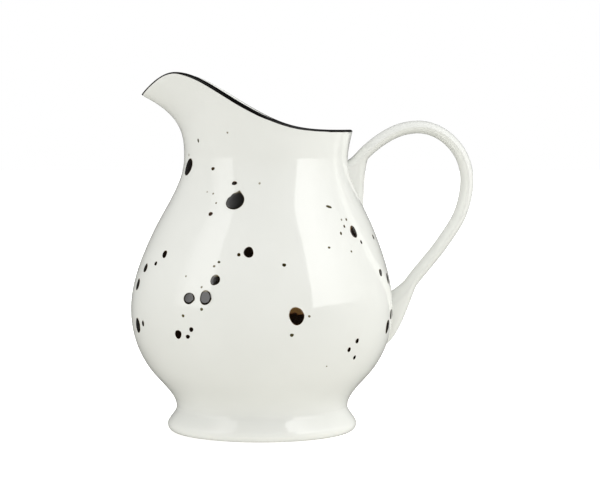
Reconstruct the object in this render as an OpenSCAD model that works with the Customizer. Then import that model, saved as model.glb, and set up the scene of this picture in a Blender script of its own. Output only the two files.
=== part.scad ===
// Glazed ceramic pitcher: a pear-shaped jug with a beak spout and a strap handle.
// Millimetres, +Z up, origin at the centre of the foot on the table. The spout points along -X.

/* [Body] */
// Height of the waist, where the body sits on its foot
waist_z = 15.5; // [12:0.5:20]
// Outer radius at the waist
waist_r = 54; // [48:0.5:60]
// Height of the widest ring of the belly
belly_z = 77; // [65:1:90]
// Outer radius of the belly
belly_r = 82.5; // [74:0.5:90]
// Height of the narrowest ring of the neck
neck_z = 172; // [160:1:185]
// Outer radius of the neck
neck_r = 51.4; // [44:0.2:60]
// How far the neck's centre stands towards the handle
neck_shift = 2.6; // [0:0.2:6]
// Thickness of the wall
wall = 4; // [3:0.1:6]
// Thickness of the floor
floor_thick = 5; // [4:0.5:8]

/* [Mouth] */
// Distance from the foot's centre line to the tip of the spout
spout_reach = 76.6; // [66:0.2:86]
// Height of the spout's tip
spout_tip_z = 211.5; // [200:0.5:222]
// Height of the rim where it crests beside the spout
crest_z = 224.8; // [212:0.2:236]
// Distance from the foot's centre line to the rim on the handle side
mouth_back = 57.2; // [50:0.2:64]
// Height of the level rim on the handle side
back_z = 189.2; // [184:0.2:200]
// How much lower the rim runs on the far side, towards the handle
rim_sag = 0.6; // [0:0.1:2]
// Half the width of the mouth
mouth_half = 52; // [44:0.5:60]
// How strongly the mouth narrows into a beak
beak_pinch = 0.45; // [0.2:0.01:0.6]
// Height of the rounding on the lip
lip_round = 1.6; // [0.8:0.1:2]

/* [Foot] */
// Outer radius of the foot
foot_r = 59.6; // [54:0.2:66]
// Radius of the bead round the foot's bottom edge
foot_bead = 4.2; // [2:0.1:6]
// Radius of the bare rest face's inner edge
rest_inner_r = 50.5; // [46:0.5:53]
// Height of the recess under the body
recess_h = 12.5; // [8:0.5:14]

/* [Handle] */
// Width of the strap
strap_w = 20; // [14:0.5:28]
// Thickness of the strap
strap_t = 8; // [6:0.2:11]
// How sharply the strap is ridged at its edges: 1 is an ellipse
strap_ridge = 1.2; // [0.7:0.05:1.4]
// Height of the top of the loop's centre line
loop_top = 190.8; // [182:0.2:200]
// Distance from the foot's centre line to the far side of the loop
loop_reach = 130; // [118:0.5:140]
// Turn of the handle round the pitcher, away from straight opposite the spout
handle_turn = 4; // [-6:1:6]

/* [Rim line] */
// Widest drop of the black line on the wall, below the rounding of the lip
line_drop = 1.9; // [1:0.1:4]
// Thickness of the black line
line_thick = 0.3; // [0.2:0.05:0.6]

/* [Spots] */
// Height of the raised glaze in the large spots
blob_lift = 0.5; // [0.2:0.05:1]
// Height of the raised glaze in the small spots
fleck_lift = 0.3; // [0.1:0.05:0.6]

/* [Hidden] */
$fn = 96;
sides = 64;
embed = 1.2;
flare_front = 3;
flare_back = 1.4;
loop_drop = loop_top - 190.8;
loop_push = (loop_reach - 130) / 30;

// Each row is [height, outer radius, slope].
profile = [
    [waist_z, waist_r, 0],
    [waist_z + 24.5, belly_r - 11.5, 0.7],
    [belly_z, belly_r, 0],
    [belly_z + 48, belly_r - 12.7, -0.43],
    [neck_z, neck_r, 0]
];

// Each row is [distance along X, rim height, slope].
rim = [
    [-spout_reach, spout_tip_z, 1.0],
    [-54.5, crest_z, 0],
    [-20, back_z + 21.5, -0.6],
    [20, back_z + 2.9, -0.24],
    [mouth_back, back_z, 0]
];

// Each row is [distance along X, drop of the black line below the lip's rounding, slope].
// A negative drop ends the line higher up, on the rounding.
line_edge = [
    [-spout_reach, -1.3, 0],
    [-57, -0.9, 0.02],
    [-25, line_drop, 0],
    [12, line_drop - 1.9, -0.05],
    [34, -0.5, -0.01],
    [mouth_back, -0.4, 0]
];

function smooth(u) = u * u * (3 - 2 * u);

function clamp(u, a, b) = min(max(u, a), b);

function mix(a, b, u) = a + (b - a) * u;

function seg(t, x, i = 0) = (i >= len(t) - 2 || x <= t[i + 1][0]) ? i : seg(t, x, i + 1);

// Cubic curve through the rows of a table.
function curve(t, x) =
    let(
        c = clamp(x, t[0][0], t[len(t) - 1][0]),
        i = seg(t, c),
        h = t[i + 1][0] - t[i][0],
        u = (c - t[i][0]) / h
    )
    mix(t[i][1], t[i + 1][1], smooth(u))
    + h * t[i][2] * u * (1 - u) * (1 - u)
    - h * t[i + 1][2] * u * u * (1 - u);

function centre_x(z) = neck_shift * smooth(clamp((z - belly_z) / (neck_z - belly_z), 0, 1));

// The rim's outer edge along X at angle a: 0 is the spout, 90 the front, 180 the handle side.
function rim_x(a) = -cos(a) * (cos(a) > 0 ? spout_reach : mouth_back);

function rim_z(a) =
    let(x = rim_x(a))
    curve(rim, x) - rim_sag * max(-sin(a), 0) * smooth(clamp((x + 20) / 50, 0, 1));

// A point of the wall below the neck, inset from the outer surface.
function below(a, z, inset) =
    let(r = curve(profile, z) - inset)
    [centre_x(z) - cos(a) * r, -sin(a) * r, z];

// A point of the wall between the neck (u = 0) and the rim (u = 1), inset from the outer surface.
function above(a, u, inset) =
    let(
        c = cos(a),
        f = max(c, 0),
        w = pow(max(u, 0), mix(flare_back, flare_front, (1 + c) / 2)),
        r = neck_r - inset,
        reach = c > 0 ? spout_reach - inset * (1 + 0.5 * f * f) : mouth_back - inset,
        side = (mouth_half - inset) * (1 - beak_pinch * f * f)
    )
    [
        mix(neck_shift - c * r, -c * reach, w),
        -sin(a) * mix(r, side, w),
        mix(neck_z, rim_z(a), u)
    ];

function wall_point(a, z, inset) =
    z <= neck_z ? below(a, z, inset) : above(a, (z - neck_z) / (rim_z(a) - neck_z), inset);

// A point of the rounded lip: t is 0 outside, 90 on top and 180 inside.
function lip_point(a, t, extra) =
    let(
        inset = wall / 2 * (1 - cos(t)) - extra * cos(t),
        z = rim_z(a) - lip_round + (lip_round + extra) * sin(t)
    )
    above(a, (z - neck_z) / (rim_z(a) - neck_z), inset);

// Angles round the wall, closer together at the spout.
function round_angle(i) = let(a = 360 * i / sides) a - 18 * sin(a);

// Triangles between ring k and ring k + 1 of n points each.
function band(k, n) = [
    for (i = [0:n - 1])
        let(a = k * n + i, b = k * n + (i + 1) % n)
            for (f = [[a, b + n, b], [a, a + n, b + n]]) f
];

function fan(k, n, tip, flip) = [
    for (i = [0:n - 1])
        let(a = k * n + i, b = k * n + (i + 1) % n) flip ? [tip, a, b] : [tip, b, a]
];

// A closed skin over a stack of rings, with a point at each end.
module stack(rings, first, last) {
    n = len(rings[0]);
    m = len(rings);
    points = concat([for (r = rings) each r], [first, last]);
    faces = concat(
        [for (k = [0:m - 2]) each band(k, n)],
        fan(0, n, n * m, true),
        fan(m - 1, n, n * m + 1, false)
    );
    polyhedron(points = points, faces = faces, convexity = 8);
}

module body() {
    angles = [for (i = [0:sides - 1]) round_angle(i)];
    under = recess_h;
    top = recess_h + floor_thick;
    boss = waist_r - 6.2;
    outer_z = [waist_z, 17, 19, 22, 26, 31, 37, 44, 52, 60, 68.5, 77, 86, 96, 107, 119, 131, 143, 154, 163.5];
    inner_z = [164, 153, 140, 124, 108, 93, 77, 62, 48, 36, 28];
    cove = [[22.5, 1.5], [19, 4.5], [top, 9]];
    rings = concat(
        [[for (a = angles) [-cos(a) * boss, -sin(a) * boss, under]]],
        [[for (a = angles) [-cos(a) * boss, -sin(a) * boss, waist_z]]],
        [for (z = outer_z) [for (a = angles) below(a, z, 0)]],
        [for (u = [0:0.125:0.9]) [for (a = angles) above(a, u, 0)]],
        [for (t = [0, 35, 70, 110, 145, 180]) [for (a = angles) lip_point(a, t, 0)]],
        [for (u = [0.85:-0.17:0]) [for (a = angles) above(a, u, wall)]],
        [for (z = inner_z) [for (a = angles) below(a, z, wall)]],
        [for (c = cove) [for (a = angles) below(a, c[0], wall + c[1])]]
    );
    color([0.9, 0.9, 0.87]) stack(rings, [0, 0, under], [0, 0, top]);
}

// Half of the foot's section, from its bare rest face up to the waist.
function foot_section() =
    let(b = foot_bead, fillet = 6)
    concat(
        [[rest_inner_r, 0]],
        [for (t = [-90:20:30]) [foot_r - b + b * cos(t), b + b * sin(t)]],
        [for (t = [40:-10:0]) [waist_r + fillet * (1 - cos(t)), waist_z - fillet * sin(t)]],
        [[waist_r - 6.2, waist_z], [waist_r - 6.2, recess_h], [rest_inner_r - 1.5, 1.5]]
    );

module foot_ring() {
    color([0.88, 0.88, 0.85]) rotate_extrude() polygon(foot_section());
}

// Centre line of the strap in its own upright plane, from the upper root to the lower root.
loop = [
    [64.6, 174.2],
    [78, 184.8 + loop_drop],
    [91, 190.2 + loop_drop],
    [105, 190.3 + loop_drop],
    [118 + 12 * loop_push, 183.5],
    [127.3 + 26 * loop_push, 171],
    [loop_reach, 155],
    [125.5 + 25 * loop_push, 135.5],
    [114 + 15 * loop_push, 117],
    [104.5, 105],
    [94.5, 92.5]
];

// The line's points, with one more past each end to bend it down towards the wall.
loop_ext = concat([loop[0] - [9, 13]], loop, [loop[len(loop) - 1] - [8, 14]]);

function loop_point(s) =
    let(
        i = min(floor(s), len(loop) - 2),
        u = s - i,
        p = loop_ext[i],
        q = loop_ext[i + 1],
        r = loop_ext[i + 2],
        t = loop_ext[i + 3]
    )
    (2 * q + (r - p) * u + (2 * p - 5 * q + 4 * r - t) * u * u + (3 * q - p - 3 * r + t) * u * u * u) / 2;

function unit(v) = v / norm(v);

function loop_dir(s) = unit(loop_point(min(s + 0.05, len(loop) - 1)) - loop_point(max(s - 0.05, 0)));

// Signed power, for a section between an ellipse and a lens with a soft ridge at each edge.
function bulge(v) = sign(v) * pow(abs(v), strap_ridge);

// The strap's outline at one place: 0 is the front edge and 90 the outer face.
// It runs forwards (1) or back (-1).
function strap_ring(c, d, n, way) = [
    for (i = [0:n - 1])
        let(
            t = way * 360 * i / n,
            across = strap_w / 2 * bulge(cos(t)),
            out = strap_t / 2 * bulge(sin(t))
        )
        [c[0] - d[1] * out, -across, c[1] + d[0] * out]
];

module handle() {
    n = 18;
    steps = 30;
    last = len(loop) - 1;
    rings = [
        for (k = [0:steps])
            let(s = last * k / steps) strap_ring(loop_point(s), loop_dir(s), n, -1)
    ];
    a = loop[0];
    b = loop[last];
    color([0.9, 0.9, 0.87])
        rotate([0, 0, handle_turn])
            stack(rings, [a[0], 0, a[1]], [b[0], 0, b[1]]);
}

// A flared clay joint from the strap's end onto the wall. It holds to the wall from "up" above its
// middle height to "down" below it, and "half" to each side. It keeps to the strap's direction by
// "lead", spreads down the wall by "flare", and bulges more, above and below, as "press" grows.
module root(s, away, hit, up, down, half, lead, flare, press) {
    n = 24;
    steps = 8;
    c = loop_point(s);
    d = loop_dir(s);
    start = strap_ring(c, d, n, away);
    middle = [centre_x(hit) + curve(profile, hit), 0, hit];
    foot = [
        for (i = [0:n - 1])
            let(
                t = away * 360 * i / n,
                v = away * sin(t),
                z = hit + (v > 0 ? up : down) * v,
                y = -half * cos(t) * (1 - 0.3 * max(-v, 0)),
                r = curve(profile, z) - embed
            )
            [centre_x(z) + sqrt(r * r - y * y), y, z]
    ];
    leave = [-d[0] * away * lead, 0, -d[1] * away * lead];
    rings = [
        for (k = [0:steps])
            let(u = k / steps)
            [
                for (i = [0:n - 1])
                    let(
                        low = (1 - away * sin(away * 360 * i / n)) / 2,
                        arrive = (foot[i] - middle) * flare * low - [mix(press[0], press[1], low), 0, 0]
                    )
                    mix(start[i], foot[i], smooth(u))
                    + leave * u * (1 - u) * (1 - u)
                    - arrive * u * u * (1 - u)
            ]
    ];
    color([0.9, 0.9, 0.87])
        rotate([0, 0, handle_turn])
            stack(rings, [c[0], 0, c[1]], middle - [embed, 0, 0]);
}

module upper_root() {
    root(0, 1, 165, 4.8, 26, 13, 14, 0.5, [8, 8]);
}

module lower_root() {
    root(len(loop) - 1, -1, 78, 8.4, 25, 11, 10, 0, [1, 27]);
}

// A point q up the lip from where its rounding starts: below 0 on the wall, above it on the rounding.
function line_point(a, q, extra) =
    q > 0
        ? lip_point(a, min(q * 32, 180), extra)
        : above(a, (rim_z(a) - lip_round + q - neck_z) / (rim_z(a) - neck_z), -extra);

// The black line's section at one angle, up the outside, over the lip and back inside the glaze.
function line_section(a) =
    let(
        low = -curve(line_edge, rim_x(a)),
        top = 3.75
    )
    [
        line_point(a, low, 0.02),
        line_point(a, mix(low, top, 0.12), line_thick * 0.8),
        line_point(a, mix(low, top, 0.4), line_thick),
        line_point(a, mix(low, top, 0.7), line_thick),
        line_point(a, mix(low, top, 0.9), line_thick * 0.7),
        line_point(a, top, 0.02),
        line_point(a, mix(low, top, 0.75), -0.35),
        line_point(a, mix(low, top, 0.4), -0.4),
        line_point(a, mix(low, top, 0.1), -0.3)
    ];

module rim_line() {
    n = 72;
    m = 9;
    points = [for (i = [0:n - 1]) each line_section(360 * i / n - 18 * sin(360 * i / n))];
    faces = [
        for (i = [0:n - 1], j = [0:m - 1])
            let(
                p = i * m + j,
                q = i * m + (j + 1) % m,
                r = ((i + 1) % n) * m + (j + 1) % m,
                s = ((i + 1) % n) * m + j
            )
            for (f = [[p, q, r], [p, r, s]]) f
    ];
    color([0.05, 0.04, 0.04]) polyhedron(points = points, faces = faces, convexity = 8);
}

// Large spots. Each row is [angle, height, half width, half height, tilt].
blobs = [
    // front
    [73, 147.5, 5.8, 5.6, 0],
    [105.5, 79.5, 4.7, 5.7, 0],
    [66.5, 90, 4.1, 4.3, 0],
    [58.5, 89, 4, 3.5, 0],
    [84, 117, 3.1, 3.2, 0],
    [70, 100.5, 3, 3.3, 0],
    [143.5, 127.5, 3.3, 3.7, 20],
    [53, 67, 2.5, 2.8, 0],
    // spout side
    [23.5, 166.5, 4.4, 6.4, -40],
    [22, 69, 4, 5, 0],
    [18, 94, 3.4, 3.7, 0],
    [37, 114, 2.3, 2.4, 0],
    [22.5, 104.5, 2.7, 2.9, 0],
    [340, 120, 4.2, 5, 0],
    [350, 148, 2.6, 3, 0],
    // handle side
    [163, 67.5, 3.4, 4.5, 0],
    [169.5, 74.5, 5, 3.4, 0],
    [168.5, 97, 2.6, 3.3, 0],
    [205, 84, 3.6, 4.2, 0],
    // back
    [232, 131, 5, 5.6, 15],
    [246, 92, 4.4, 4.1, 0],
    [252, 98, 2.9, 3.2, 0],
    [283, 71, 5.2, 4.6, 0],
    [291, 139, 3.2, 3.6, 0],
    [314, 100, 3.9, 4.4, 0],
    [320, 160, 2.8, 3.2, -20]
];

// Small spots, as above.
flecks = [
    // round the large spot high on the front
    [70.5, 157.5, 1.8, 1.2, 0],
    [59.5, 139, 1.4, 1.3, 0],
    [52.5, 166, 1.3, 1.1, 0],
    [87, 157.5, 0.7, 0.7, 0],
    [57, 151, 0.6, 0.6, 0],
    [61, 145.5, 0.6, 0.6, 0],
    [52, 152, 0.5, 0.5, 0],
    // under the spout
    [37.5, 183, 0.8, 1.3, 0],
    [65, 188, 0.6, 0.6, 0],
    [23, 174, 0.5, 1.1, 0],
    [32, 108, 1.5, 1.4, 0],
    [28.5, 71, 1.5, 2, 0],
    // down the middle of the front
    [79.5, 115.5, 1.1, 1.1, 0],
    [70.5, 111, 0.9, 0.8, 0],
    [68.5, 108.5, 0.8, 0.8, 0],
    [64, 96, 0.7, 0.7, 0],
    [55, 102, 0.6, 0.6, 0],
    [65, 83, 1, 1, 0],
    [56, 78.5, 1, 1, 0],
    [60, 70.5, 1.4, 1.6, 0],
    [58, 66, 1.5, 1.3, 0],
    [100.5, 109.5, 1.2, 1.1, 0],
    [103.5, 68, 1.2, 1.1, 0],
    [111, 79, 0.8, 0.8, 0],
    // low on the handle side
    [136.5, 62, 1.5, 1.6, 0],
    [132.5, 57, 1.4, 1.5, 0],
    [137.5, 51.5, 1.2, 1.4, 0],
    [122, 47.5, 0.5, 0.5, 0],
    // high on the handle side
    [130.5, 143, 2.2, 0.9, -12],
    [133.5, 127, 0.9, 1, 0],
    [137.5, 131, 0.8, 1, 0],
    [141, 135, 0.7, 0.9, 0],
    [137, 135, 0.6, 0.7, 0],
    [124, 119, 1, 0.7, 0],
    [137.5, 116, 0.7, 0.7, 0],
    [147.5, 121, 1, 1.2, 0],
    [159, 101.5, 2.4, 2.4, 0],
    [165, 123, 1.3, 1.6, 0],
    // back
    [196, 60, 1.3, 1.5, 0],
    [201, 106, 1.6, 1.8, 0],
    [218, 119, 1, 1.1, 0],
    [226, 141, 1.3, 1.1, 0],
    [238, 123, 0.8, 0.9, 0],
    [240, 84, 1.2, 1.3, 0],
    [257, 61, 1.5, 1.3, 0],
    [262, 152, 1.1, 1.2, 0],
    [270, 112, 0.9, 0.9, 0],
    [276, 79, 1.1, 1, 0],
    [289, 63, 1.4, 1.6, 0],
    [297, 146, 0.8, 0.8, 0],
    [305, 93, 1.3, 1.1, 0],
    [321, 110, 1.1, 1.2, 0],
    [333, 74, 1.7, 1.9, 0],
    [336, 131, 1, 1.1, 0],
    [349, 87, 1.3, 1.4, 0]
];

function spot_ring(s, size, lift, n) =
    let(r = norm([for (k = [0, 1]) wall_point(s[0], s[1], 0)[k]]))
    [
        for (i = [0:n - 1])
            let(
                t = 360 * i / n,
                wob = 1 + 0.07 * sin(2 * t + s[1] * 11) + 0.05 * sin(3 * t + s[0] * 7),
                p = s[2] * size * wob * cos(t),
                q = s[3] * size * wob * sin(t),
                across = p * cos(s[4]) - q * sin(s[4]),
                rise = p * sin(s[4]) + q * cos(s[4])
            )
            wall_point(s[0] + across / r * 57.3, s[1] + rise, -lift)
    ];

// One raised drop of glaze, let into the wall underneath.
module spot(s, lift, n) {
    rings = [
        spot_ring(s, 0.96, -0.6, n),
        spot_ring(s, 1, 0.03, n),
        spot_ring(s, 0.75, lift * 0.7, n)
    ];
    stack(rings, wall_point(s[0], s[1], 0.6), wall_point(s[0], s[1], -lift));
}

module large_spots() {
    color([0.1, 0.07, 0.05]) for (s = blobs) spot(s, blob_lift, 14);
}

module small_spots() {
    color([0.16, 0.1, 0.06]) for (s = flecks) spot(s, fleck_lift, 8);
}

body();
foot_ring();
handle();
upper_root();
lower_root();
rim_line();
large_spots();
small_spots();
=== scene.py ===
"""Looks of the glazed pitcher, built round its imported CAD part.

Shapes are worked out in millimetres and angles in degrees.
"""

import math

import bpy
import numpy as np
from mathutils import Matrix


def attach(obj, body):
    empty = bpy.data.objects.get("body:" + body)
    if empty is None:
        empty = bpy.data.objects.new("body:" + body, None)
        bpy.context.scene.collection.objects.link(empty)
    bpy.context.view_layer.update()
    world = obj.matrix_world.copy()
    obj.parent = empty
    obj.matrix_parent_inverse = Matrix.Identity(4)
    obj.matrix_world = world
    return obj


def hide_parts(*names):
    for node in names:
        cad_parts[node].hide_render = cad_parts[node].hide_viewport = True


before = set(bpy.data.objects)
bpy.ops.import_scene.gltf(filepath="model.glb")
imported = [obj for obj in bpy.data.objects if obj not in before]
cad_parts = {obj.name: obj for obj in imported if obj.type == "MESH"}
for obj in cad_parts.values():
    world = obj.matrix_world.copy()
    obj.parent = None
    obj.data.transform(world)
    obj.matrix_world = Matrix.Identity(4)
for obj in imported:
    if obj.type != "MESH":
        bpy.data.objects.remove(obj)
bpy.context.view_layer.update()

# --------------------------------------------------------------------------
# The driving dimensions, as the CAD source has them
# --------------------------------------------------------------------------
WAIST_Z, WAIST_R = 15.5, 54.0
BELLY_Z, BELLY_R = 77.0, 82.5
NECK_Z, NECK_R, NECK_SHIFT = 172.0, 51.4, 2.6
WALL, FLOOR_TOP = 4.0, 17.5
REACH, BACK, MOUTH_HALF, PINCH = 76.6, 57.2, 52.0, 0.45
LIP = 1.6
SAG = 0.6
FLARE_FRONT, FLARE_BACK = 3.0, 1.4
BASE_Z, BOSS_R, COVE = 12.5, WAIST_R - 6.2, 12
BEAD, BEAD_X, FILLET = 4.2, 55.4, 6
STRAP_W, STRAP_T = 20.0, 8.0
ROUND = 1.2
TURN = 4.0
EMBED = 1.2

# [height, outer radius, slope]
PROFILE = (
    (WAIST_Z, WAIST_R, 0.0),
    (40.0, 71.0, 0.7),
    (BELLY_Z, BELLY_R, 0.0),
    (125.0, 69.8, -0.43),
    (NECK_Z, NECK_R, 0.0),
)
# [distance along X, rim height, slope]
RIM = (
    (-REACH, 211.5, 1.0),
    (-54.5, 224.8, 0.0),
    (-20.0, 210.7, -0.6),
    (20.0, 192.1, -0.24),
    (BACK, 189.2, 0.0),
)
# [distance along X, how far the black line comes down past the lip's rounding, slope]
LINE = (
    (-REACH, -1.3, 0.0),
    (-57.0, -0.9, 0.02),
    (-25.0, 1.9, 0.0),
    (12.0, 0.0, -0.05),
    (34.0, -0.5, -0.01),
    (BACK, -0.4, 0.0),
)
# The strap's centre line, [distance along X, height]
LOOP = np.array([
    (64.6, 174.2), (78, 184.8), (91, 190.2), (105, 190.3), (118, 183.5), (127.3, 171),
    (130, 155), (125.5, 135.5), (114, 117), (104.5, 105), (94.5, 92.5),
], float)


def sind(a):
    return np.sin(np.radians(a))


def cosd(a):
    return np.cos(np.radians(a))


def smooth(u):
    return u * u * (3 - 2 * u)


def curve(rows, x):
    """Cubic curve through the rows of a table."""
    t = np.array(rows)
    x = np.clip(np.asarray(x, float), t[0, 0], t[-1, 0])
    i = np.clip(np.searchsorted(t[:, 0], x, side="right") - 1, 0, len(t) - 2)
    h = t[i + 1, 0] - t[i, 0]
    u = (x - t[i, 0]) / h
    return (t[i, 1] + (t[i + 1, 1] - t[i, 1]) * smooth(u)
            + h * t[i, 2] * u * (1 - u) ** 2 - h * t[i + 1, 2] * u * u * (1 - u))


def centre_x(z):
    return NECK_SHIFT * smooth(np.clip((z - BELLY_Z) / (NECK_Z - BELLY_Z), 0, 1))


def rim_x(a):
    return -cosd(a) * np.where(cosd(a) > 0, REACH, BACK)


def rim_z(a):
    x = rim_x(a)
    return curve(RIM, x) - SAG * np.maximum(-sind(a), 0) * smooth(np.clip((x + 20) / 50, 0, 1))


def below(a, z, inset=0.0):
    """The wall below the neck: angle 0 is the spout, 90 the front, 180 the handle side."""
    r = curve(PROFILE, z) - inset
    return np.stack(np.broadcast_arrays(centre_x(z) - cosd(a) * r, -sind(a) * r, np.asarray(z, float)), -1)


def above(a, u, inset=0.0):
    """The wall between the neck (u = 0) and the rim (u = 1)."""
    c = cosd(a)
    f = np.maximum(c, 0)
    w = np.maximum(u, 0) ** (FLARE_BACK + (FLARE_FRONT - FLARE_BACK) * (1 + c) / 2)
    r = NECK_R - inset
    reach = np.where(c > 0, REACH - inset * (1 + 0.5 * f * f), BACK - inset)
    side = (MOUTH_HALF - inset) * (1 - PINCH * f * f)
    x = (NECK_SHIFT - c * r) * (1 - w) - c * reach * w
    y = -sind(a) * (r * (1 - w) + side * w)
    z = NECK_Z + (rim_z(a) - NECK_Z) * u
    return np.stack(np.broadcast_arrays(x, y, z), -1)


def wall_point(a, z, inset=0.0):
    a, z, inset = (np.asarray(v, float) for v in np.broadcast_arrays(a, z, inset))
    upper = above(a, (z - NECK_Z) / (rim_z(a) - NECK_Z), inset)
    return np.where((z <= NECK_Z)[..., None], below(a, z, inset), upper)


def lip_point(a, t, extra=0.0):
    """The rounded lip: t is 0 outside, 90 on top and 180 inside."""
    inset = WALL / 2 * (1 - cosd(t)) - extra * cosd(t)
    z = rim_z(a) - LIP + (LIP + extra) * sind(t)
    return above(a, (z - NECK_Z) / (rim_z(a) - NECK_Z), inset)


def round_angles(n):
    """Angles round the wall, closer together at the spout."""
    a = 360 * np.arange(n) / n
    return a - 18 * sind(a)


def level_ring(a, r, z):
    return np.stack([-cosd(a) * r, -sind(a) * r, np.full(len(a), float(z))], -1)


# --------------------------------------------------------------------------
# Mesh building
# --------------------------------------------------------------------------
def piece(name, points, faces, materials, node, sharp=38.0):
    """A finished piece on the pitcher's one body, standing for a CAD node."""
    mesh = bpy.data.meshes.new(name)
    mesh.from_pydata([tuple(p * 0.001) for p in points], [], [list(map(int, f)) for f in faces])
    mesh.validate()
    mesh.shade_smooth()
    mesh.set_sharp_from_angle(angle=math.radians(sharp))
    for m in materials:
        mesh.materials.append(m)
    obj = bpy.data.objects.new(name, mesh)
    bpy.context.scene.collection.objects.link(obj)
    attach(obj, "root")
    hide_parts(node)
    return obj


def stack(rings, first=None, last=None, start=0):
    """Points and faces of a skin over closed rings, with a point at each end where one is given."""
    n, m = len(rings[0]), len(rings)
    points = [p for r in rings for p in r]
    faces = []
    for k in range(m - 1):
        for i in range(n):
            a, b = k * n + i, k * n + (i + 1) % n
            faces.append((a, b, b + n, a + n))
    for tip, k, turned in ((first, 0, True), (last, m - 1, False)):
        if tip is not None:
            points.append(np.asarray(tip, float))
            t = len(points) - 1
            for i in range(n):
                a, b = k * n + i, k * n + (i + 1) % n
                faces.append((t, b, a) if turned else (t, a, b))
    if start:
        faces = [tuple(v + start for v in f) for f in faces]
    return points, faces


def tube(rings):
    """A skin over closed rings whose last ring joins the first."""
    points, faces = stack(rings + [rings[0]])
    count = len(rings) * len(rings[0])
    faces = [tuple(v if v < count else v - count for v in f) for f in faces]
    return points[:count], faces


def mark(obj, name, values):
    """A number on every point of a mesh, for its material to read."""
    layer = obj.data.attributes.new(name, "FLOAT", "POINT")
    layer.data.foreach_set("value", np.asarray(values, np.float32))


def turned(points, degrees):
    c, s = cosd(degrees), sind(degrees)
    p = np.array(points)
    return np.stack([p[..., 0] * c - p[..., 1] * s, p[..., 0] * s + p[..., 1] * c, p[..., 2]], -1)


# --------------------------------------------------------------------------
# Materials
# --------------------------------------------------------------------------
class Nodes:
    """A material with a Principled shader and a few shorthand calls."""

    def __init__(self, name, **sockets):
        self.material = bpy.data.materials.new(name)
        self.material.use_nodes = True
        self.tree = self.material.node_tree
        self.shader = self.tree.nodes["Principled BSDF"]
        for key, value in sockets.items():
            self.shader.inputs[key.replace("_", " ")].default_value = value
        self.place = self.add("ShaderNodeTexCoord").outputs["Object"]

    def add(self, kind, **settings):
        node = self.tree.nodes.new(kind)
        for key, value in settings.items():
            setattr(node, key, value)
        return node

    def link(self, a, b):
        self.tree.links.new(a, b)

    def noise(self, size, detail=2.0, rough=0.5, seed=0.0):
        """Noise whose lumps are about `size` metres across."""
        shift = self.add("ShaderNodeVectorMath", operation="ADD")
        self.link(self.place, shift.inputs[0])
        shift.inputs[1].default_value = (seed, seed * 0.7, -seed)
        n = self.add("ShaderNodeTexNoise")
        self.link(shift.outputs[0], n.inputs["Vector"])
        n.inputs["Scale"].default_value = 1 / size
        n.inputs["Detail"].default_value = detail
        n.inputs["Roughness"].default_value = rough
        return n.outputs["Fac"]

    def ramp(self, value, stops):
        r = self.add("ShaderNodeValToRGB")
        while len(r.color_ramp.elements) < len(stops):
            r.color_ramp.elements.new(0.5)
        for e, (at, colour) in zip(r.color_ramp.elements, stops, strict=True):
            e.position = at
            e.color = (*colour, 1)
        self.link(value, r.inputs[0])
        return r.outputs[0]

    def span(self, value, low, high, a=0.0, b=1.0):
        m = self.add("ShaderNodeMapRange")
        self.link(value, m.inputs["Value"])
        m.inputs["From Min"].default_value, m.inputs["From Max"].default_value = a, b
        m.inputs["To Min"].default_value, m.inputs["To Max"].default_value = low, high
        return m.outputs["Result"]

    def mix(self, fac, a, b, kind="MIX"):
        m = self.add("ShaderNodeMix", data_type="RGBA", blend_type=kind)
        for socket, value in ((m.inputs[0], fac), (m.inputs[6], a), (m.inputs[7], b)):
            if hasattr(value, "links"):
                self.link(value, socket)
            else:
                socket.default_value = value if isinstance(value, float) else (*value, 1)
        return m.outputs[2]

    def plus(self, a, b):
        total = self.add("ShaderNodeMath", operation="ADD")
        self.link(a, total.inputs[0])
        self.link(b, total.inputs[1])
        return total.outputs[0]

    def marked(self, name):
        """The number that the mesh carries on its points."""
        return self.add("ShaderNodeAttribute", attribute_name=name).outputs["Fac"]

    def bump(self, height, distance, strength):
        """Bump of a given depth in metres."""
        b = self.add("ShaderNodeBump")
        b.inputs["Strength"].default_value = strength
        b.inputs["Distance"].default_value = distance
        self.link(height, b.inputs["Height"])
        self.link(b.outputs["Normal"], self.shader.inputs["Normal"])


def white_glaze():
    m = Nodes("white_glaze", IOR=1.5, Specular_IOR_Level=0.5, Roughness=0.06)
    tone = m.noise(0.055, 3.0, 0.55)
    base = m.ramp(tone, ((0.3, (0.742, 0.750, 0.715)), (0.7, (0.770, 0.778, 0.744))))
    specks = m.ramp(m.noise(0.0011, 1.0, 0.4, 3.0), ((0.0, (0.93, 0.92, 0.86)), (0.24, (1, 1, 1))))
    m.link(m.mix(1.0, base, specks, "MULTIPLY"), m.shader.inputs["Base Color"])
    m.link(m.span(m.noise(0.03, 2.0, 0.5, 7.0), 0.045, 0.085, 0.3, 0.7), m.shader.inputs["Roughness"])
    m.bump(m.noise(0.028, 1.0, 0.4, 1.0), 0.0004, 0.22)
    return m.material


def bare_clay():
    m = Nodes("bare_clay", IOR=1.45, Roughness=0.85)
    tone = m.noise(0.012, 4.0, 0.6)
    base = m.ramp(tone, ((0.3, (0.62, 0.585, 0.51)), (0.7, (0.70, 0.67, 0.60))))
    grit = m.ramp(m.noise(0.0006, 2.0, 0.5, 4.0), ((0.28, (0.62, 0.56, 0.47)), (0.38, (1, 1, 1))))
    m.link(m.mix(1.0, base, grit, "MULTIPLY"), m.shader.inputs["Base Color"])
    m.link(m.span(m.noise(0.002, 3.0), 0.78, 0.92), m.shader.inputs["Roughness"])
    m.bump(m.noise(0.0007, 3.0, 0.6, 2.0), 0.00015, 0.6)
    return m.material


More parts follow.
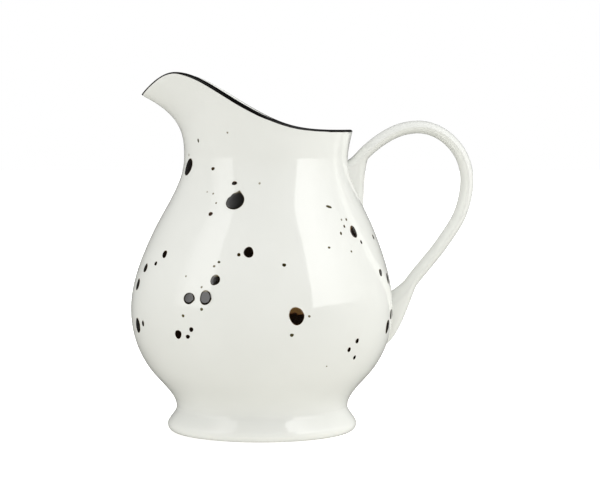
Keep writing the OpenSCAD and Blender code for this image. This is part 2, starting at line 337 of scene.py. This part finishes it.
def black_line():
    m = Nodes("black_line", IOR=1.38, Roughness=0.3)
    depth = m.plus(m.marked("depth"), m.span(m.noise(0.004, 2.0, 0.5, 2.0), -0.18, 0.18))
    base = m.ramp(depth, (
        (0.0, (0.16, 0.12, 0.08)),
        (0.2, (0.03, 0.02, 0.013)),
        (0.45, (0.003, 0.0025, 0.0025)),
    ))
    m.link(base, m.shader.inputs["Base Color"])
    m.link(m.span(m.noise(0.006, 2.0, 0.5, 6.0), 0.24, 0.42), m.shader.inputs["Roughness"])
    m.bump(m.noise(0.003, 2.0, 0.5, 3.0), 0.00008, 0.35)
    return m.material


def dark_glaze(name, ior):
    """Iron spots: black where the glaze is deep, brown to olive where it thins out over the white."""
    m = Nodes(name, IOR=ior, Roughness=0.06)
    depth = m.plus(m.marked("depth"), m.span(m.noise(0.0016, 3.0, 0.55, 2.0), -0.1, 0.1))
    olive = m.ramp(depth, (
        (0.04, (0.66, 0.65, 0.60)),
        (0.22, (0.33, 0.32, 0.26)),
        (0.42, (0.11, 0.105, 0.055)),
        (0.62, (0.032, 0.026, 0.006)),
        (0.85, (0.005, 0.0035, 0.002)),
    ))
    brown = m.ramp(depth, (
        (0.04, (0.66, 0.62, 0.55)),
        (0.22, (0.30, 0.24, 0.16)),
        (0.42, (0.115, 0.062, 0.018)),
        (0.64, (0.045, 0.014, 0.003)),
        (0.88, (0.006, 0.003, 0.0015)),
    ))
    m.link(m.mix(m.marked("hue"), olive, brown), m.shader.inputs["Base Color"])
    gloss = m.span(m.noise(0.002, 2.0, 0.5, 6.0), 0.04, 0.09)
    m.link(m.plus(gloss, m.span(m.marked("matt"), 0.0, 0.4)), m.shader.inputs["Roughness"])
    m.bump(m.noise(0.0018, 2.0, 0.5, 3.0), 0.00003, 0.3)
    return m.material


GLAZE, CLAY, BLACK = white_glaze(), bare_clay(), black_line()
DEEP, THIN = dark_glaze("dark_glaze", 1.9), dark_glaze("dark_glaze_thin", 1.33)

# --------------------------------------------------------------------------
# Body and foot
# --------------------------------------------------------------------------
N = 208


def make_body():
    a = round_angles(N)
    rings = [level_ring(a, BOSS_R * k, BASE_Z) for k in (0.25, 0.5, 0.75, 0.97, 1)]
    rings += [level_ring(a, BOSS_R, WAIST_Z)]
    rings += [below(a, z) for z in np.linspace(WAIST_Z, NECK_Z, 71)[:-1]]
    rings += [above(a, u) for u in np.linspace(0, 0.93, 22)]
    rings += [lip_point(a, t) for t in np.linspace(0, 180, 17)]
    rings += [above(a, u, WALL) for u in np.linspace(0.92, 0, 22)]
    rings += [below(a, z, WALL) for z in np.linspace(NECK_Z - 2.5, 30, 58)]
    for t in np.linspace(0, 88, 12):
        rings.append(below(a, FLOOR_TOP + COVE * (1 - sind(t)), WALL + COVE * (1 - cosd(t))))
    inner = float(curve(PROFILE, FLOOR_TOP)) - WALL - COVE
    rings += [level_ring(a, inner * k, FLOOR_TOP) for k in (0.8, 0.55, 0.3)]
    points, faces = stack(rings, (0, 0, BASE_Z), (0, 0, FLOOR_TOP))
    piece("body_glazed", points, faces, [GLAZE], "body")


def make_foot():
    """The turned foot: a bead at the table, a hollow sweep up to the waist, and a bare face to stand on."""
    section = [(50.5, 0.05), (52.0, 0.0), (53.6, 0.0)]
    section += [(BEAD_X + BEAD * cosd(t), BEAD + BEAD * sind(t)) for t in np.linspace(-84, 34, 26)]
    section += [(58.0, 7.95), (57.1, 9.2), (56.2, 10.5)]
    for t in np.linspace(34, 0, 14):
        section.append((WAIST_R + FILLET * (1 - cosd(t)), WAIST_Z - FILLET * sind(t)))
    section += [(BOSS_R, WAIST_Z), (BOSS_R, BASE_Z)]
    section += [(48.1, 10.0), (48.5, 6.0), (48.8, 3.0), (49.2, 1.2), (49.7, 0.45)]
    a = 180 + 360 * np.arange(N) / N
    points, faces = tube([level_ring(a, r, z) for r, z in section])
    obj = piece("foot_turned", points, faces, [GLAZE, CLAY], "foot_ring")
    for face in obj.data.polygons:
        r = math.hypot(face.center.x, face.center.y) * 1000
        if face.center.z < 0.0006 and 49.4 < r < 55.2:
            face.material_index = 1


make_body()
make_foot()


# --------------------------------------------------------------------------
# Handle and its two joints
# --------------------------------------------------------------------------
LOOP_EXT = np.vstack([LOOP[0] - (9, 13), LOOP, LOOP[-1] - (8, 14)])
LAST = len(LOOP) - 1


def loop_point(s):
    i = min(int(math.floor(s)), LAST - 1)
    u = s - i
    p, q, r, t = LOOP_EXT[i : i + 4]
    return (2 * q + (r - p) * u + (2 * p - 5 * q + 4 * r - t) * u * u + (3 * q - p - 3 * r + t) * u ** 3) / 2


def loop_dir(s):
    d = loop_point(min(s + 0.05, LAST)) - loop_point(max(s - 0.05, 0))
    return d / np.linalg.norm(d)


def bulge(v):
    """Draws the strap's section in from an ellipse, which leaves a soft ridge along its faces."""
    return np.sign(v) * np.abs(v) ** ROUND


def strap_ring(c, d, n, way):
    t = way * 360 * np.arange(n) / n
    across = STRAP_W / 2 * bulge(cosd(t))
    out = STRAP_T / 2 * bulge(sind(t))
    return np.stack([c[0] - d[1] * out, -across, c[1] + d[0] * out], -1)


SIDES = 56


def make_handle():
    rings = [strap_ring(loop_point(s), loop_dir(s), SIDES, -1) for s in np.linspace(0, LAST, 150)]
    a, b = LOOP[0], LOOP[-1]
    points, faces = stack(rings, (a[0], 0, a[1]), (b[0], 0, b[1]))
    piece("handle_strap", turned(points, TURN), faces, [GLAZE], "handle", 50)


def make_root(name, node, s, away, hit, up, down, half, lead, flare, press):
    """The flared clay joint from the strap's end onto the wall.

    lead is how far it keeps to the strap's direction, flare is how much its lower end spreads along
    the wall, and press is how much it bulges above and below.
    """
    c, d = loop_point(s), loop_dir(s)
    t = away * 360 * np.arange(SIDES) / SIDES
    v = away * sind(t)
    z = hit + np.where(v > 0, up, down) * v
    y = -half * cosd(t) * (1 - 0.3 * np.maximum(-v, 0))
    r = curve(PROFILE, z) - EMBED
    foot = np.stack([centre_x(z) + np.sqrt(r * r - y * y), y, z], -1)
    middle = np.array([centre_x(hit) + curve(PROFILE, hit), 0, hit])
    start = strap_ring(c, d, SIDES, away)
    leave = np.array([-d[0] * away, 0, -d[1] * away]) * lead
    low = (0.5 - 0.5 * v)[:, None]
    swell = press[0] * (1 - low) + press[1] * low
    arrive = (foot - middle) * flare * low - np.array([1, 0, 0]) * swell
    rings = []
    for u in np.linspace(0, 1, 26):
        bend = leave * u * (1 - u) ** 2 - arrive * u * u * (1 - u)
        rings.append(start + (foot - start) * smooth(u) + bend)
    points, faces = stack(rings, (c[0], 0, c[1]), middle - (EMBED, 0, 0))
    piece(name, turned(points, TURN), faces, [GLAZE], node, 50)


make_handle()
make_root("handle_upper_root", "upper_root", 0, 1, 165, 4.8, 26, 13, 14, 0.5, (8, 8))
make_root("handle_lower_root", "lower_root", LAST, -1, 78, 8.4, 25, 11, 10, 0.0, (1, 27))


# --------------------------------------------------------------------------
# The black line on the lip
# --------------------------------------------------------------------------
def line_point(a, q, extra):
    """A point q millimetres up from where the lip's rounding starts, and on the wall where q is below 0."""
    wall = above(a, (rim_z(a) - LIP + np.minimum(q, 0) - NECK_Z) / (rim_z(a) - NECK_Z), -extra)
    lip = lip_point(a, np.clip(q * 32, 0, 180), extra)
    return np.where((q <= 0)[..., None], wall, lip)


# [share of the way up the line, lift off the glaze, depth of colour], out over the top and back inside
LINE_SECTION = (
    (0, -0.02, 0.0), (0.04, 0.1, 0.4), (0.1, 0.18, 0.8), (0.2, 0.25, 1), (0.32, 0.28, 1),
    (0.45, 0.29, 1), (0.58, 0.29, 1), (0.7, 0.28, 1), (0.8, 0.25, 1), (0.88, 0.19, 0.9),
    (0.95, 0.11, 0.5), (1, -0.02, 0.1), (0.9, -0.3, 1), (0.5, -0.35, 1), (0.1, -0.3, 1),
)


def make_line():
    n = 288
    a = round_angles(n)
    brush = 0.10 * sind(7 * a + 20) + 0.07 * sind(13 * a + 75) + 0.05 * sind(29 * a)
    low = -curve(LINE, rim_x(a)) - brush
    top = 3.75 + 0.1 * sind(9 * a + 50)
    rings = [line_point(a, low + (top - low) * k, lift) for k, lift, _ in LINE_SECTION]
    points, faces = tube(rings)
    obj = piece("lip_line", points, faces, [BLACK], "rim_line", 60)
    mark(obj, "depth", np.repeat([d for _, _, d in LINE_SECTION], n))


make_line()

# --------------------------------------------------------------------------
# Spots of dark glaze
# --------------------------------------------------------------------------
# Large spots, [angle, height, half width, half height, tilt, hue from 0 olive to 1 brown, share of the
# height that is thin at the top, how matt, degrees that the top leans towards the spout]
BLOBS = (
    # front
    (73, 147.5, 5.8, 5.6, 0, 0.3, 0.12, 0.6, -4),
    (105.5, 79.5, 4.7, 5.7, 0, 1.0, 0.42, 0.2, 0),
    (66.5, 90, 4.1, 4.3, 0, 0.3, 0.12, 0, 4),
    (58.5, 89, 4, 3.5, 0, 0.3, 0.05, 0, 2),
    (84, 117, 3.1, 3.2, 0, 0.7, 0.12, 0.2, 0),
    (70, 100.5, 3, 3.3, 0, 0.3, 0.2, 0.2, 0),
    (143.5, 127.5, 3.3, 3.7, 20, 0.8, 0.2, 0.2, 0),
    (53, 67, 2.5, 2.8, 0, 0.9, 0.1, 0.2, 0),
    # spout side
    (23.5, 166.5, 4.4, 6.4, -40, 0.3, 0.05, 0.2, 0),
    (22, 69, 4, 5, 0, 0.4, 0.1, 0.2, 0),
    (18, 94, 3.4, 3.7, 0, 0.4, 0.1, 0.2, 0),
    (37, 114, 2.3, 2.4, 0, 0.5, 0.15, 0.2, 0),
    (22.5, 104.5, 2.7, 2.9, 0, 0.7, 0.1, 0.2, 0),
    (340, 120, 4.2, 5, 0, 0.5, 0.15, 0.1, 0),
    (350, 148, 2.6, 3, 0, 0.2, 0.1, 0.2, 0),
    # handle side
    (163, 67.5, 3.4, 4.5, 0, 0.7, 0.0, 0, 0),
    (169.5, 74.5, 5.0, 3.4, 0, 0.3, 0.0, 0, 0),
    (168.5, 97, 2.6, 3.3, 0, 0.3, 0.0, 0, 0),
    (205, 84, 3.6, 4.2, 0, 0.6, 0.2, 0.1, 0),
    # back
    (232, 131, 5, 5.6, 15, 0.3, 0.15, 0.3, 0),
    (246, 92, 4.4, 4.1, 0, 0.8, 0.3, 0.2, 0),
    (252, 98, 2.9, 3.2, 0, 0.5, 0.1, 0.2, 0),
    (283, 71, 5.2, 4.6, 0, 0.2, 0.2, 0.2, 0),
    (291, 139, 3.2, 3.6, 0, 0.7, 0.15, 0.2, 0),
    (314, 100, 3.9, 4.4, 0, 0.4, 0.3, 0.2, 0),
    (320, 160, 2.8, 3.2, -20, 0.5, 0.1, 0.2, 0),
)
# Small spots, [angle, height, half width, half height, tilt, hue, strength]
FLECKS = (
    # round the large spot high on the front
    (70.5, 157.5, 1.8, 1.2, 0, 1.0, 0.8),
    (59.5, 139, 1.4, 1.3, 0, 0.9, 0.66),
    (52.5, 166, 1.3, 1.1, 0, 0.5, 0.6),
    (87, 157.5, 0.7, 0.7, 0, 0.3, 0.22),
    (57, 151, 0.6, 0.6, 0, 0.3, 0.28),
    (61, 145.5, 0.6, 0.6, 0, 0.3, 0.35),
    (52, 152, 0.5, 0.5, 0, 0.3, 0.2),
    # under the spout
    (37.5, 183, 0.8, 1.3, 0, 0.1, 0.55),
    (65, 188, 0.6, 0.6, 0, 0.4, 0.3),
    (23, 174, 0.5, 1.1, 0, 0.3, 0.3),
    (32, 108, 1.5, 1.4, 0, 0.5, 0.8),
    (28.5, 71, 1.5, 2, 0, 0.5, 0.8),
    # down the middle of the front
    (79.5, 115.5, 1.1, 1.1, 0, 0.3, 0.6),
    (70.5, 111, 0.9, 0.8, 0, 0.0, 0.5),
    (68.5, 108.5, 0.8, 0.8, 0, 0.2, 0.3),
    (64, 96, 0.7, 0.7, 0, 0.2, 0.3),
    (55, 102, 0.6, 0.6, 0, 0.2, 0.25),
    (65, 83, 1, 1, 0, 0.1, 0.42),
    (56, 78.5, 1, 1, 0, 0.3, 0.42),
    (60, 70.5, 1.4, 1.6, 0, 1.0, 0.95),
    (58, 66, 1.5, 1.3, 0, 0.9, 0.9),
    (100.5, 109.5, 1.2, 1.1, 0, 0.1, 0.6),
    (103.5, 68, 1.2, 1.1, 0, 0.1, 0.5),
    (111, 79, 0.8, 0.8, 0, 0.4, 0.34),
    # low on the handle side
    (136.5, 62, 1.5, 1.6, 0, 0.9, 0.95),
    (132.5, 57, 1.4, 1.5, 0, 1.0, 0.95),
    (137.5, 51.5, 1.2, 1.4, 0, 0.9, 0.9),
    (122, 47.5, 0.5, 0.5, 0, 0.3, 0.3),
    # high on the handle side
    (130.5, 143, 2.2, 0.9, -12, 0.1, 0.5),
    (133.5, 127, 0.9, 1, 0, 0.3, 0.5),
    (137.5, 131, 0.8, 1, 0, 0.5, 0.55),
    (141, 135, 0.7, 0.9, 0, 0.3, 0.5),
    (137, 135, 0.6, 0.7, 0, 0.2, 0.3),
    (124, 119, 1, 0.7, 0, 0.2, 0.4),
    (137.5, 116, 0.7, 0.7, 0, 0.2, 0.4),
    (147.5, 121, 1.0, 1.2, 0, 0.3, 0.85),
    (159, 101.5, 2.4, 2.4, 0, 0.4, 1.0),
    (165, 123, 1.3, 1.6, 0, 0.4, 0.8),
    # back
    (196, 60, 1.3, 1.5, 0, 0.8, 0.9),
    (201, 106, 1.6, 1.8, 0, 0.4, 0.9),
    (218, 119, 1, 1.1, 0, 0.2, 0.6),
    (226, 141, 1.3, 1.1, 0, 0.9, 0.8),
    (238, 123, 0.8, 0.9, 0, 0.3, 0.4),
    (240, 84, 1.2, 1.3, 0, 0.6, 0.8),
    (257, 61, 1.5, 1.3, 0, 0.9, 0.9),
    (262, 152, 1.1, 1.2, 0, 0.2, 0.6),
    (270, 112, 0.9, 0.9, 0, 0.3, 0.5),
    (276, 79, 1.1, 1, 0, 0.5, 0.7),
    (289, 63, 1.4, 1.6, 0, 0.9, 0.9),
    (297, 146, 0.8, 0.8, 0, 0.2, 0.4),
    (305, 93, 1.3, 1.1, 0, 0.5, 0.8),
    (321, 110, 1.1, 1.2, 0, 0.3, 0.7),
    (333, 74, 1.7, 1.9, 0, 0.7, 0.9),
    (336, 131, 1, 1.1, 0, 0.2, 0.5),
    (349, 87, 1.3, 1.4, 0, 0.6, 0.8),
)
# Outlines that are far from round: [direction, share of the half size], for the spots they belong to
SHAPES = {
    (73, 147.5): ((-156, 1.06), (-136, 1.07), (-99, 1.02), (-36, 0.99), (-2, 0.96), (39, 0.92),
                  (62, 1.02), (74, 1.14), (88, 0.9), (101, 0.83), (147, 0.74), (175, 0.93)),
    (58.5, 89): ((-170, 1.0), (-90, 1.0), (-35, 0.93), (-10, 1.05), (45, 1.0), (120, 1.02)),
}


def outline(s, t):
    """How far the edge lies from an ellipse, in each direction t."""
    wob = 1 + 0.05 * sind(2 * t + s[1] * 11) + 0.035 * sind(3 * t + s[0] * 7)
    rows = SHAPES.get((s[0], s[1]))
    if rows:
        d = [r[0] for r in rows]
        v = [r[1] for r in rows]
        d = [d[-1] - 360, *d, d[0] + 360]
        v = [v[-1], *v, v[0]]
        at = (t + 180) % 360 - 180
        u = np.array([np.searchsorted(d, x) for x in at])
        lo, hi = np.array(d)[u - 1], np.array(d)[u]
        k = smooth((at - lo) / (hi - lo))
        wob = np.array(v)[u - 1] * (1 - k) + np.array(v)[u] * k
    return wob


def spot_ring(s, t, size, lift, lean=0.0):
    r = np.linalg.norm(wall_point(s[0], s[1])[:2])
    wob = outline(s, t)
    p, q = s[2] * size * wob * cosd(t), s[3] * size * wob * sind(t)
    across = p * cosd(s[4]) - q * sind(s[4])
    rise = p * sind(s[4]) + q * cosd(s[4])
    slope = math.tan(math.radians(lean))
    return wall_point(s[0] + across / r * 57.3, s[1] + rise, -(lift + across * slope + abs(slope) * s[2]))


def make_spots(name, node, spots, lift, n):
    """Each spot is a shallow drop, nearly flat on top and rounded down at its thinner edge."""
    points, faces = [], []
    marks = {"depth": [], "hue": [], "matt": []}
    t = 360 * np.arange(n) / n
    big = node == "large_spots"
    for s in spots:
        strength, thin, matt, lean = (1.0, s[6], s[7], s[8]) if big else (s[6], 0.15, 0.3, 0.0)
        rings = [spot_ring(s, t, 0.95, -0.4)]
        depth = [np.zeros(n)]
        for k in (1.0, 0.975, 0.95, 0.91, 0.86, 0.78, 0.68, 0.54, 0.38, 0.2):
            rings.append(spot_ring(s, t, k, 0.03 + lift * (1 - k ** 8), lean * min(1, (1 - k) / 0.14)))
            rim = np.clip((1 - k) / 0.09, 0, 1)
            past = k * sind(t) - 1 + 2 * thin + 0.1 * cosd(2 * t + s[0] * 13)
            top = smooth(np.clip(past / 0.3 + 0.5, 0, 1))
            depth.append(np.clip((0.08 + 1.04 * rim - 0.67 * top) * strength, 0, 1))
        tip = wall_point(s[0], s[1], -0.03 - lift - abs(math.tan(math.radians(lean))) * s[2])
        p, f = stack(rings, wall_point(s[0], s[1], 0.4), tip, start=len(points))
        points += list(p)
        faces += f
        marks["depth"] += [*np.concatenate(depth), 0.0, strength]
        marks["hue"] += [s[5]] * len(p)
        marks["matt"] += [matt] * len(p)
    obj = piece(name, points, faces, [DEEP if big else THIN], node, 55)
    for key, values in marks.items():
        mark(obj, key, values)


make_spots("spots_large", "large_spots", BLOBS, 0.22, 48)
make_spots("spots_small", "small_spots", FLECKS, 0.14, 24)


# --------------------------------------------------------------------------
# Studio: a white floor and backdrop, tall soft panels, and the camera
# --------------------------------------------------------------------------
def flat(name, corners, colour, glow, faces=((0, 1, 2, 3),)):
    mesh = bpy.data.meshes.new(name)
    mesh.from_pydata(corners, [], faces)
    m = bpy.data.materials.new(name)
    m.use_nodes = True
    s = m.node_tree.nodes["Principled BSDF"]
    s.inputs["Base Color"].default_value = (*colour, 1)
    s.inputs["Roughness"].default_value = 1
    s.inputs["Specular IOR Level"].default_value = 0
    s.inputs["Emission Color"].default_value = (1, 1, 1, 1)
    s.inputs["Emission Strength"].default_value = glow
    mesh.materials.append(m)
    obj = bpy.data.objects.new(name, mesh)
    bpy.context.scene.collection.objects.link(obj)
    return obj


def softbox(name, azimuths, distance, low, high):
    """A tall panel facing the pitcher. Each row is [azimuth from the camera's side, glow there]."""
    corners, faces = [], []
    for i, (az, _) in enumerate(azimuths):
        corners += [(sind(az) * distance, -cosd(az) * distance, z) for z in (low, high)]
        if i:
            faces.append((2 * i - 2, 2 * i, 2 * i + 1, 2 * i - 1))
    obj = flat(name, corners, (0, 0, 0), 1.0, faces)
    mark(obj, "glow", np.repeat([g for _, g in azimuths], 2))
    tree = obj.data.materials[0].node_tree
    glow = tree.nodes.new("ShaderNodeAttribute")
    glow.attribute_name = "glow"
    tree.links.new(glow.outputs["Fac"], tree.nodes["Principled BSDF"].inputs["Emission Strength"])
    return obj


def seen_by(obj, camera=False, diffuse=False, glossy=False):
    """Which rays meet a studio panel. None of them shades the light of another."""
    obj.visible_camera, obj.visible_diffuse, obj.visible_glossy = camera, diffuse, glossy
    obj.visible_shadow = obj.visible_transmission = obj.visible_volume_scatter = False


def ground(name, z, colour, glow):
    return flat(name, [(-6, -6, z), (6, -6, z), (6, 6, z), (-6, 6, z)], colour, glow)


WARM_GREY = (0.72, 0.71, 0.67)
seen_by(ground("floor", 0, (0.9, 0.9, 0.88), 0.4), camera=True)
seen_by(ground("floor_bounce", -0.001, WARM_GREY, 0.1), diffuse=True)

GLOW_R = 0.085
glow_rim = [(GLOW_R * cosd(30 * i), GLOW_R * sind(30 * i), -0.0005) for i in range(12)]
seen_by(flat("foot_glow", glow_rim, WARM_GREY, 0.45, (tuple(range(12)),)), diffuse=True)

FAR = 9
room_corners = [(x, y, z) for z in (-1, FAR) for x, y in ((-FAR, -FAR), (FAR, -FAR), (FAR, FAR), (-FAR, FAR))]
room_faces = ((0, 1, 5, 4), (1, 2, 6, 5), (2, 3, 7, 6), (3, 0, 4, 7), (4, 5, 6, 7))
seen_by(flat("backdrop", room_corners, (0, 0, 0), 1.0, room_faces), camera=True)

# Panels that show in the glaze
right_glow = ((44, 3.3), (65, 2.7), (82, 1.2), (104, 0))
left_glow = ((-80, 0.4), (-66, 1.5), (-45, 1.8))
room_glow = ((110, 0.0), (150, 0.08), (210, 0.08), (250, 0.0))
seen_by(softbox("softbox_right", right_glow, 1.05, 0.17, 2.0), glossy=True)
seen_by(softbox("softbox_left", left_glow, 1.05, 0.17, 2.0), glossy=True)

# Panels that only light it
right_fill = ((50, 0.3), (75, 1.5), (100, 2.6), (150, 3.0))
left_fill = ((-150, 1.5), (-85, 1.2))
seen_by(softbox("fill_right", right_fill, 1.3, 0.0, 2.0), diffuse=True)
seen_by(softbox("fill_left", left_fill, 1.3, 0.0, 2.0), diffuse=True)
seen_by(softbox("room", room_glow, 3.0, -0.6, 4.0), glossy=True)

world = bpy.data.worlds.new("studio")
world.use_nodes = True
world.node_tree.nodes["Background"].inputs["Color"].default_value = (1, 1, 1, 1)
world.node_tree.nodes["Background"].inputs["Strength"].default_value = 1.17
world.cycles_visibility.glossy = False
bpy.context.scene.world = world

camera = bpy.data.objects.new("camera", bpy.data.cameras.new("camera"))
bpy.context.scene.collection.objects.link(camera)
camera.data.sensor_width = 36
camera.data.lens = 128.7
camera.data.clip_end = 30
camera.location = (0.024, -1.35, 0.2)
camera.rotation_euler = (math.radians(90 - 3.66), 0, 0)
bpy.context.scene.camera = camera
bpy.context.scene.view_settings.view_transform = "Standard"

bpy.context.view_layer.update()
